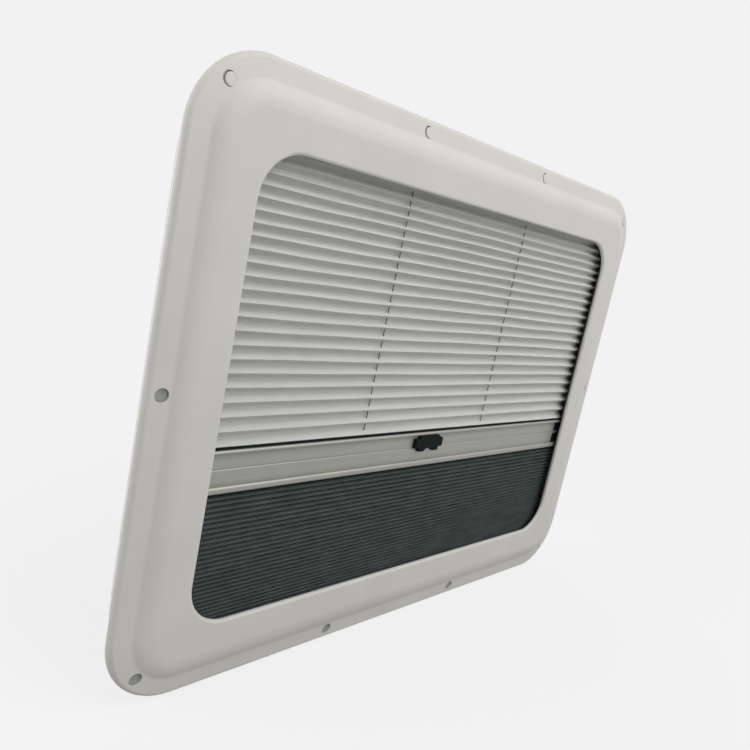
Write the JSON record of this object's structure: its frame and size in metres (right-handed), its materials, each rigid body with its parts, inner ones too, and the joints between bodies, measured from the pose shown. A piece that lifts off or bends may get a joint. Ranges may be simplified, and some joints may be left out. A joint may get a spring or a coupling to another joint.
{
  "type": "caravan rooflight with pleated blind and flyscreen",
  "caption": "Rectangular caravan rooflight: moulded inner frame with a pleated blind and flyscreen on joined pull bars, tinted glazing and an outer roof frame.",
  "frame": {"origin": "middle of the screw pattern, in the plane of the flange's back face that seats on the ceiling lining", "axes": "+X along the pull bars, +Z along the bars' travel towards the blind's housing, +Y out through the roof, -Y into the room"},
  "size_m": [0.752, 0.071, 0.564],
  "materials": {
    "frame_plastic": "off-white moulded plastic, fine grain",
    "roof_plastic": "white moulded plastic",
    "seal_rubber": "black rubber",
    "tinted_acrylic": "dark tinted clear acrylic",
    "rail_plastic": "black extruded plastic",
    "blind_fabric": "pale grey pleated fabric",
    "screen_fabric": "dark pleated mesh",
    "cord_fibre": "dark braided cord",
    "bar_aluminium": "satin champagne grey",
    "black_plastic": "black moulded plastic"
  },
  "bodies": {
    "frame": {"inner_frame": "frame_plastic", "roof_frame": "roof_plastic", "dome_seal": "seal_rubber", "inner_pane": "tinted_acrylic", "outer_dome": "tinted_acrylic", "left_rail": "rail_plastic", "right_rail": "rail_plastic", "blind_housing": "rail_plastic", "screen_housing": "rail_plastic", "blind_head_strip": "rail_plastic", "screen_foot_strip": "rail_plastic", "blind_pleats": "blind_fabric", "screen_pleats": "screen_fabric", "guide_cord_left": "cord_fibre", "guide_cord_right": "cord_fibre"},
    "pull_bar": {"blind_bar": "bar_aluminium", "screen_bar": "bar_aluminium", "blind_clamp_strip": "black_plastic", "screen_clamp_strip": "black_plastic", "blind_bar_glide_left": "black_plastic", "blind_bar_glide_right": "black_plastic", "screen_bar_glide_left": "black_plastic", "screen_bar_glide_right": "black_plastic", "bar_latch": "black_plastic"}
  },
  "joints": [
    {"name": "bar_travel", "type": "slide", "parent": "frame", "child": "pull_bar", "axis": [0, 0, 1], "range_m": [-0.118, 0.254], "deforming": ["blind_pleats", "screen_pleats"]}
  ]
}
